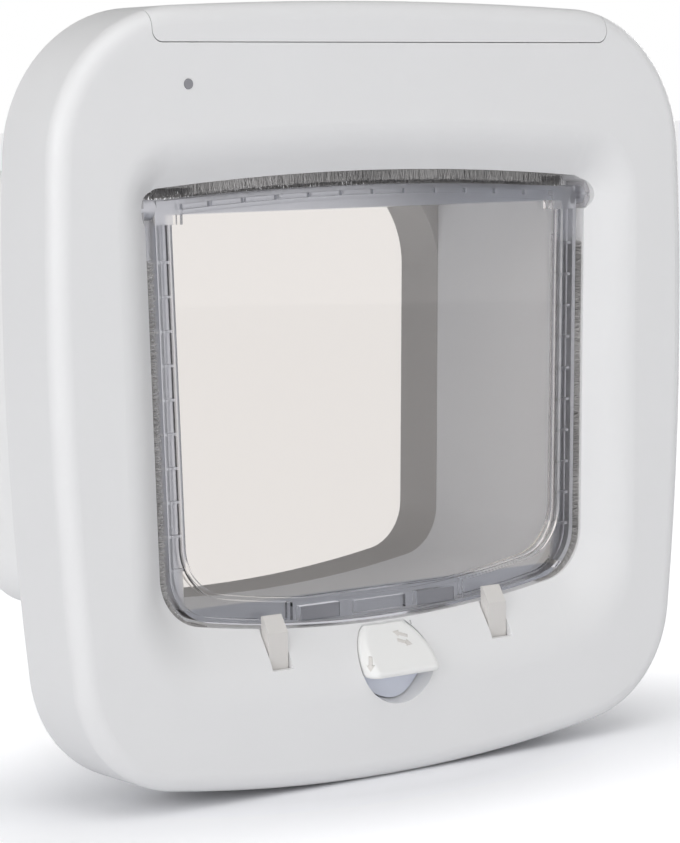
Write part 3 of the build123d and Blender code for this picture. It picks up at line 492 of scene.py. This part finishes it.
# Pile seals
pile = {
    "collarTop": (83.8, 66.0),  # the collar's corners in millimetres, x and z
    "collarBottom": (80.8, -60.0),
    "crown": 70.0,
    "sag": -68.0,
    "corner": 16.0,
    "back": 9.5,  # depths in front of the door face
    "front": 19.0,
    "sideTop": 45.0,
    "sideFoot": 64.0,
    "topHalf": 75.0,
    "sideLength": 3.0,  # length of the hair, and at the end of the corner
    "footLength": 0.45,
    "footFall": 1.4,  # how late the hair shortens round the corner
    "topLength": 3.3,
    "endFrom": 66.0,  # towards the hinge the front rows are cut above the open flap
    "endFloor": 66.3,
    "backRows": 3.0,  # depth of the rows behind the flap, whose hair is longer and reaches further out
    "backLength": 5.4,
    "backFloor": 62.8,  # and stays above the swinging flap
    "backHalf": 81.0,
    "pitch": 0.22,
    "firstRow": 0.3,
    "row": 0.6,
    "hair": 0.13,
    "tipShare": 0.5,  # of the hair's thickness
    "shortest": 0.8,  # of the hair's length
    "scatter": 0.28,  # how far the roots stray, in depth and along the path
    "wander": 0.12,
    "leanAlong": 0.22,
    "leanDeep": 0.10,
    "seat": 0.06,
    "stripShare": 0.5,  # underside of the strip that carries the hair, of the seat's height
}


def throughArc(half, end, middle):
    # circle through (-half, end), (0, middle) and (half, end): its centre height and radius
    rise = middle - end
    radius = (half ** 2 + rise ** 2) / (2 * abs(rise))
    return middle - np.sign(rise) * radius, radius


def sidePath():
    # straight side of the collar, its bottom corner and the start of its bottom edge
    top, bottom = np.array(pile["collarTop"]), np.array(pile["collarBottom"])
    along = (bottom - top) / np.linalg.norm(bottom - top)
    inward = np.array([along[1], -along[0]])
    floorZ, floorRadius = throughArc(pile["collarBottom"][0], pile["collarBottom"][1], pile["sag"])
    start = top + inward * pile["corner"] - np.array([0.0, floorZ])
    reach = floorRadius - pile["corner"]
    half = start @ along
    run = -half + np.sqrt(half ** 2 - start @ start + reach ** 2)
    centre = top + inward * pile["corner"] + along * run
    fromFloor = centre - np.array([0.0, floorZ])
    first = np.arctan2(-inward[1], -inward[0])
    last = np.arctan2(fromFloor[1], fromFloor[0])
    z = np.arange(pile["sideTop"], centre[1] - inward[1] * pile["corner"], -pile["pitch"])
    line = top + np.outer((top[1] - z) / -along[1], along)
    angle = np.arange(first, last, -pile["pitch"] / pile["corner"])
    bend = centre + pile["corner"] * np.column_stack([np.cos(angle), np.sin(angle)])
    x = np.arange(bend[-1, 0], pile["sideFoot"], -pile["pitch"])
    floor = np.column_stack([x, floorZ - np.sqrt(floorRadius ** 2 - x ** 2)])
    path = np.concatenate([line, bend, floor])
    normal = np.concatenate([
        np.tile(inward, (len(line), 1)),
        (centre - bend) / pile["corner"],
        (np.array([0.0, floorZ]) - floor) / floorRadius,
    ])
    turned = np.clip((first - np.arctan2(-normal[:, 1], -normal[:, 0])) / (first - last), 0, 1)
    shortening = (pile["footLength"] - pile["sideLength"]) * turned ** pile["footFall"]
    return path, normal, pile["sideLength"] + shortening


def topPath():
    # crowned top edge of the collar, with the length of the hair in the front rows and in the back rows
    roofZ, roofRadius = throughArc(pile["collarTop"][0], pile["collarTop"][1], pile["crown"])
    x = np.arange(-pile["backHalf"], pile["backHalf"], pile["pitch"])
    path = np.column_stack([x, roofZ + np.sqrt(roofRadius ** 2 - x ** 2)])
    normal = (np.array([0.0, roofZ]) - path) / roofRadius
    ends = np.where(np.abs(x) < pile["topHalf"], np.maximum(path[:, 1] - pile["endFloor"], 0.0), 0.0)
    length = np.where(np.abs(x) < pile["endFrom"], pile["topLength"], ends)
    return path, normal, length, np.minimum(pile["backLength"], path[:, 1] - pile["backFloor"])


def carrierStrip(path, normal):
    # closed flat bar along the path, four corners a step: path + normal * inset, from front to back
    inset = np.array([1.0, 1.0, pile["stripShare"], pile["stripShare"]]) * pile["seat"]
    depth = np.array([pile["front"], pile["back"], pile["back"], pile["front"]])
    place = path[:, None] + normal[:, None] * inset[:, None]
    y = np.broadcast_to(-depth, place.shape[:2])
    points = np.stack([place[..., 0], y, place[..., 1]], axis=-1).reshape(-1, 3)
    corner, step = np.arange(4), np.arange(len(path) - 1)[:, None] * 4
    beside = (corner + 1) % 4
    quads = np.stack([step + corner, step + 4 + corner, step + 4 + beside, step + beside], axis=-1)
    ends = [corner, len(points) - 1 - corner]
    return points, np.concatenate([quads.reshape(-1, 4), ends])


def makePile(name, node, path, normal, length, backLength):
    # closed three-sided tapering hairs: base ring + direction * length, in rows across the depth
    rows = np.arange(pile["back"] + pile["firstRow"], pile["front"], pile["row"])
    count = len(path) * len(rows)
    spot = np.tile(np.arange(len(path)), len(rows))
    depth = np.repeat(rows, len(path)) + rng.uniform(-pile["scatter"], pile["scatter"], count)
    base = np.column_stack([path[spot, 0], -depth, path[spot, 1]])
    inward = np.column_stack([normal[spot, 0], np.zeros(count), normal[spot, 1]])
    base += inward * pile["seat"]
    outward = np.array([0.0, 1.0, 0.0])
    tangent = np.cross(outward, inward)
    base += tangent * rng.uniform(-pile["wander"], pile["wander"], (count, 1))
    aim = inward + tangent * rng.normal(0, pile["leanAlong"], (count, 1))
    aim += outward * rng.normal(0, pile["leanDeep"], (count, 1))
    behind = depth < pile["back"] + pile["backRows"]
    reach = np.where(behind, backLength[spot], length[spot])
    tip = base + aim * (reach * rng.uniform(pile["shortest"], 1.0, count))[:, None]
    turn = rng.uniform(0, 2 * np.pi, (count, 1)) + np.arange(3) * 2 * np.pi / 3
    ring = np.cos(turn)[..., None] * tangent[:, None] + np.sin(turn)[..., None] * outward
    root = base[:, None] + ring * pile["hair"]
    end = tip[:, None] + ring * pile["hair"] * pile["tipShare"]
    hairs = np.stack([root, end], axis=1)[reach > 0].reshape(-1, 3)
    corner = np.arange(3)
    beside = (corner + 1) % 3
    sides = triangles(np.column_stack([corner, beside, beside + 3, corner + 3]))
    hairFaces = np.concatenate([sides, [(0, 2, 1), (3, 4, 5)]])
    faces = (np.arange(0, len(hairs), 6)[:, None, None] + hairFaces).reshape(-1, 3)
    strip, quads = carrierStrip(path, normal)
    faces = np.concatenate([faces, triangles(quads) + len(hairs)])
    obj = meshFromArrays(name, np.concatenate([hairs, strip]), faces, smooth=False)
    closeSeams(obj)
    obj.data.materials.append(finishes["pile"])
    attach(obj, "housing")
    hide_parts(node)


sideRun, sideInward, sideHair = sidePath()
mirror = np.array([-1.0, 1.0])
makePile("pileTop", "brush_top", *topPath())
makePile("pileRight", "brush_right", sideRun, sideInward, sideHair, sideHair)
makePile("pileLeft", "brush_left", sideRun * mirror, sideInward * mirror, sideHair, sideHair)
print("pile seals made")

# Printed marks
marks = {
    "roofTop": (0.0, -21.6, -68.8),  # the hood's sloping roof down the middle, millimetres
    "roofLip": (0.0, -35.0, -83.2),
    "pairAt": (3.5, 5.9),  # middle of the pair of arrows: across, and down the roof from its top
    "pairTurn": 0.45,
    "gap": 1.35,  # from the middle to each arrow, and how far they are slid apart
    "slip": 0.7,
    "sideAt": (-12.2, -30.0, -78.6),  # the single arrow on the hood's rounded side
    "sideAlong": (-0.321, -0.401, -0.857),
    "sideFacing": (-0.61, -0.59, 0.53),
    "shaft": (-2.5, 0.6, 0.65),  # from, to and half width
    "head": (2.7, 1.35, 0.02),  # tip, half width and half width at the tip
    "steps": 7,  # along the shaft and along the head
    "lanes": 5,
    "lift": 0.03,
    "thickness": 0.03,
    "notchTop": (10.35, -20.65, -69.0),  # small notch in the sill above the knob
    "notchFoot": (10.25, -21.35, -70.2),
    "notchHalf": 0.22,
    "notchSteps": 5,
}
printBeige = plastic("printBeige", (0.70, 0.675, 0.65), 0.5)


def arrowPoints(middle, along, facing):
    # middle + along * length + across * width(length) * side: a shaft that steps out to a tapering head
    start, neck, half = marks["shaft"]
    tip, spread, blunt = marks["head"]
    steps = marks["steps"]
    length = np.concatenate([np.linspace(start, neck, steps), np.linspace(neck, tip, steps)])
    width = np.concatenate([np.full(steps, half), np.linspace(spread, blunt, steps)])
    side = np.linspace(-1, 1, marks["lanes"])
    across = np.cross(along, facing)
    points = middle + length[:, None, None] * along + (width[:, None] * side)[..., None] * across
    return points.reshape(-1, 3)


def settle(obj, node):
    # lays a film on a node's surface and gives it its thickness
    wrap = obj.modifiers.new("wrap", "SHRINKWRAP")
    wrap.target = nodes[node]
    wrap.wrap_mode = "ABOVE_SURFACE"
    wrap.offset = marks["lift"] * mm
    film = obj.modifiers.new("film", "SOLIDIFY")
    film.thickness = marks["thickness"] * mm
    film.offset = 1.0
    graph = bpy.context.evaluated_depsgraph_get()
    shape = bpy.data.meshes.new_from_object(obj.evaluated_get(graph))
    obj.modifiers.clear()
    obj.data = shape


def makeModeArrows():
    # a pair of opposed arrows on the roof and one on the rounded side, a quarter turn away
    top, lip = np.array(marks["roofTop"]), np.array(marks["roofLip"])
    down = unit(lip - top)
    across = np.array([1.0, 0.0, 0.0])
    facing = np.cross(down, across)
    turn = marks["pairTurn"]
    along = np.cos(turn) * across + np.sin(turn) * down
    beside = np.cos(turn) * down - np.sin(turn) * across
    middle = top + marks["pairAt"][0] * across + marks["pairAt"][1] * down
    offset = beside * marks["gap"] + along * marks["slip"]
    arrows = [
        arrowPoints(middle + offset, along, facing),
        arrowPoints(middle - offset, -along, facing),
        arrowPoints(np.array(marks["sideAt"]), unit(marks["sideAlong"]), unit(marks["sideFacing"])),
    ]
    size, lanes = len(arrows[0]), marks["lanes"]
    grids = [gridFaces(size // lanes, lanes, first=size * index) for index in range(len(arrows))]
    obj = meshFromArrays("modeArrows", np.concatenate(arrows), np.concatenate(grids))
    closeSeams(obj, turnOut=False)
    settle(obj, "lock_knob")
    obj.data.materials.append(printBeige)
    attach(obj, "lock")


def makeSillNotch():
    # a short dark strip down the sill, painted shade standing in for the small notch: top to foot, notchHalf
    # to each side
    down = np.linspace(marks["notchTop"], marks["notchFoot"], marks["notchSteps"])
    side = np.array([-1.0, 1.0])[:, None] * np.array([marks["notchHalf"], 0.0, 0.0])
    points = (down[:, None] + side).reshape(-1, 3)
    obj = meshFromArrays("sillNotch", points, gridFaces(marks["notchSteps"], len(side)))
    settle(obj, "front_housing")
    obj.data.materials.append(finishes["bush"])
    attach(obj, "housing")


makeModeArrows()
makeSillNotch()
print("marks made")

# Cover screws
screwLook = {
    "headRadius": 2.9,  # millimetres
    "head": 1.5,
    "edge": 0.2,
    "shank": 1.5,
    "length": 13.5,
    "crossArm": 1.75,  # reach and half width of the cross recess, and its depth
    "crossHalf": 0.42,
    "crossDepth": 0.8,
    "soften": 0.12,
    "around": 64,
    "rings": 18,
    "bands": (-30.0, 30.0),  # heights that part the lower, middle and upper pair
    "faceDepth": 0.05,  # how near the door face a point of a head lies
}


def screwCentres():
    # middle of each head: halfway between its outermost points on the door face
    mesh = nodes["housing_screws"].data
    points = np.empty(len(mesh.vertices) * 3)
    mesh.vertices.foreach_get("co", points)
    points = points.reshape(-1, 3) / mm
    face = points[points[:, 1] > points[:, 1].max() - screwLook["faceDepth"]]
    inColumn = len(screwLook["bands"]) + 1
    which = (face[:, 0] > 0) * inColumn + np.digitize(face[:, 2], screwLook["bands"])
    low = np.full((2 * inColumn, 3), np.inf)
    high = -low
    np.minimum.at(low, which, face)
    np.maximum.at(high, which, face)
    return (low + high) / 2


def makeCoverScrews():
    # a turned profile; the head's face is lowered by a cross: depth * arm(min(|x|, |z|)) * arm(max(|x|, |z|))
    look = screwLook
    head, edge, shank = look["headRadius"], look["edge"], look["shank"]
    radius = np.concatenate([np.linspace(0.0, head - edge, look["rings"]), [head, head, shank, shank, 0.0]])
    height = np.concatenate([
        np.zeros(look["rings"]),
        [-edge, -look["head"], -look["head"], shank - look["length"], -look["length"]],
    ])
    angle = np.arange(look["around"] + 1) * 2 * np.pi / look["around"]
    x, z = radius[:, None] * np.cos(angle), radius[:, None] * np.sin(angle)
    near, far = np.minimum(np.abs(x), np.abs(z)), np.maximum(np.abs(x), np.abs(z))
    inside = np.clip((look["crossHalf"] - near) / look["soften"], 0, 1)
    inside = inside * np.clip((look["crossArm"] - far) / look["soften"], 0, 1)
    y = height[:, None] - look["crossDepth"] * inside * (height[:, None] == 0)
    one = np.stack([x, y, z], axis=-1).reshape(-1, 3)
    centres = screwCentres()
    points = (centres[:, None] + one).reshape(-1, 3)
    grid = gridFaces(len(radius), look["around"] + 1)
    faces = (grid + np.arange(len(centres))[:, None, None] * len(one)).reshape(-1, 4)
    obj = meshFromArrays("coverScrews", points, faces)
    closeSeams(obj)
    obj.data.materials.append(finishes["steel"])
    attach(obj, "housing")
    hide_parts("housing_screws")


makeCoverScrews()
print("cover screws made")

# Latch spring
springLook = {
    "wire": 0.5,  # radius in millimetres
    "turns": 4.0,
    "around": 10,
    "stepsPerTurn": 40,
    "travel": 5.0,  # of the latches
}


def makeLatchSpring():
    # round wire on a helix: centre + coil radius * n(t) + rise * t, and a circle on n and b around it
    look = springLook
    low, high = (np.array(corner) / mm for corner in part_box("latch_spring"))
    middle = (low + high) / 2
    coil = (high[0] - low[0]) / 2 - look["wire"]
    share = np.linspace(0, 1, int(look["turns"] * look["stepsPerTurn"]) + 1)[:, None]
    turn = share * 2 * np.pi * look["turns"]
    flat = np.zeros_like(turn)
    outward = np.hstack([np.cos(turn), np.sin(turn), flat])
    rise = high[2] - low[2] - 2 * look["wire"]
    core = np.hstack([flat + middle[0], flat + middle[1], low[2] + look["wire"] + rise * share])
    line = core + coil * outward
    slope = rise / (2 * np.pi * look["turns"])
    tangent = np.hstack([-coil * np.sin(turn), coil * np.cos(turn), flat + slope])
    upward = np.cross(outward, tangent / np.linalg.norm(tangent, axis=1, keepdims=True))
    angle = np.linspace(0, 2 * np.pi, look["around"] + 1)
    ring = np.cos(angle)[:, None] * outward[:, None] + np.sin(angle)[:, None] * upward[:, None]
    thickness = np.full(len(share), look["wire"])
    thickness[[0, -1]] = 0.0  # the ends close
    points = line[:, None] + thickness[:, None, None] * ring
    obj = meshFromArrays("latchSpring", points.reshape(-1, 3), gridFaces(len(share), look["around"] + 1))
    closeSeams(obj)
    obj.data.materials.append(finishes["steel"])
    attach(obj, "housing")
    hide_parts("latch_spring")
    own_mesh(obj)


makeLatchSpring()
print("latch spring made")

# Floor, light and camera
studio = {
    "floorHalf": 30.0,
    "floorColor": (0.90, 0.905, 0.93),
    "floorRoughness": 0.8,
    "floorShine": 0.2,
    "floorGlow": (0.065, 0.24, 0.0, 0.56),  # metres from, metres to, glow from, glow to
    "footY": -0.015,  # middle of the shadow on the floor, and how flat it is
    "footFlat": 0.45,
    "bounce": 0.25,  # share of the floor's glow that the object gets
    "eye": (-557.6, -747.4, 87.8),  # millimetres, found from the photograph
    "forward": (0.59482, 0.79732, -0.10229),
    "up": (0.07318, 0.07301, 0.99464),
    "lens": 128.96,
    "sensor": 36.0,
    "clip": (0.01, 200.0),
    "ambient": 0.42,
    "roomToDoor": (-0.2, 0.6, 1.0, 0.5),  # the ambient light is dimmer from behind the door
    "backdrop": (1.0, 1.0, 1.0),
    "throughPane": (0.963, 0.943, 0.933),  # floor and backdrop as the clear panel shows them
}
softboxes = {  # place and size in metres, watts
    "keyBox": ((-1.9, -1.5, 0.75), (1.6, 1.6), 11.2),
    "topBox": ((-0.4, -0.9, 2.0), (1.8, 1.8), 16.6),
    "sideBox": ((-2.4, -0.6, 0.6), (1.2, 1.2), 12.0),
    "backBox": ((2.3, 1.1, 0.5), (1.0, 0.8), 8.0),
    "fillBox": ((1.3, -1.8, 0.3), (1.2, 1.2), 2.0),
}


def makeFloor():
    # pale floor with painted light: it glows, not at all near the object's foot and more and more away from
    # it, up to the white backdrop
    half = studio["floorHalf"] / mm
    z = cadBox[0][2] / mm
    corners = [(-half, -half, z), (half, -half, z), (half, half, z), (-half, half, z)]
    floor = meshFromArrays("floor", corners, [(0, 1, 2, 3)])
    mat, tree, shader = newMaterial("floorPale")
    shader.inputs["Base Color"].default_value = (*studio["floorColor"], 1)
    shader.inputs["Roughness"].default_value = studio["floorRoughness"]
    shader.inputs["Specular IOR Level"].default_value = studio["floorShine"]
    shader.inputs["Emission Strength"].default_value = 1.0
    coords = tree.nodes.new("ShaderNodeTexCoord")
    spread = addNode(tree, "ShaderNodeMapping", vector_type="TEXTURE")
    spread.inputs["Location"].default_value = (0.0, studio["footY"], cadBox[0][2])
    spread.inputs["Scale"].default_value = (1.0, studio["footFlat"], 1.0)
    reach = addNode(tree, "ShaderNodeVectorMath", operation="LENGTH")
    tree.links.new(coords.outputs["Object"], spread.inputs["Vector"])
    tree.links.new(spread.outputs["Vector"], reach.inputs[0])
    # painted light: the glow rises with the distance from the object's foot
    glow = rangeOf(tree, reach.outputs["Value"], studio["floorGlow"])
    path = tree.nodes.new("ShaderNodeLightPath")  # little of the glow falls back on the object
    share = mathNode(tree, "MAXIMUM", path.outputs["Is Camera Ray"], studio["bounce"])
    tree.links.new(mathNode(tree, "MULTIPLY", glow, share), shader.inputs["Emission Color"])
    even = tree.nodes.new("ShaderNodeEmission")  # one even tone where the panel shows the floor
    even.inputs["Color"].default_value = (*studio["throughPane"], 1)
    surface = mixShader(tree, path.outputs["Is Transmission Ray"], shader.outputs[0], even.outputs[0])
    tree.links.new(surface, tree.nodes["Material Output"].inputs["Surface"])
    floor.data.materials.append(mat)


def makeCamera():
    data = bpy.data.cameras.new("photoCamera")
    data.sensor_fit = "VERTICAL"
    data.sensor_height = studio["sensor"]
    data.lens = studio["lens"]
    data.clip_start, data.clip_end = studio["clip"]
    forward = Vector(studio["forward"]).normalized()
    right = forward.cross(Vector(studio["up"])).normalized()
    up = right.cross(forward)
    camera = bpy.data.objects.new("photoCamera", data)
    bpy.context.scene.collection.objects.link(camera)
    place = Matrix((right, up, -forward)).transposed().to_4x4()
    place.translation = Vector(studio["eye"]) * mm
    camera.matrix_world = place
    bpy.context.scene.camera = camera


def makeSoftbox(name, place, size, power):
    # a soft light that looks at the object's middle
    data = bpy.data.lights.new(name, "AREA")
    data.shape = "RECTANGLE"
    data.size, data.size_y = size
    data.energy = power
    lamp = bpy.data.objects.new(name, data)
    bpy.context.scene.collection.objects.link(lamp)
    lamp.location = place
    lamp.rotation_euler = (-Vector(place)).to_track_quat("-Z", "Y").to_euler()


def makeWorld():
    # a white backdrop where it is seen, straight or through the panel, and a dimmer light elsewhere
    world = bpy.data.worlds.new("studioWorld")
    world.use_nodes = True
    tree = world.node_tree
    path = tree.nodes.new("ShaderNodeLightPath")
    straight, through = path.outputs["Is Camera Ray"], path.outputs["Is Transmission Ray"]
    shown = tree.nodes["Background"]
    tone = mixColor(tree, through, studio["backdrop"], studio["throughPane"])
    tree.links.new(tone, shown.inputs["Color"])
    dim = addNode(tree, "ShaderNodeBackground", Strength=studio["ambient"])
    shade = rangeOf(tree, axesOf(tree, "Generated")["Y"], studio["roomToDoor"])
    tree.links.new(shade, dim.inputs["Color"])
    seen = mathNode(tree, "MAXIMUM", straight, through)
    surface = mixShader(tree, seen, dim.outputs[0], shown.outputs[0])
    tree.links.new(surface, tree.nodes["World Output"].inputs["Surface"])
    bpy.context.scene.world = world


makeFloor()
makeCamera()
for name, (place, size, power) in softboxes.items():
    makeSoftbox(name, place, size, power)
makeWorld()
bpy.context.scene.view_settings.view_transform = "Standard"
print("studio ready")
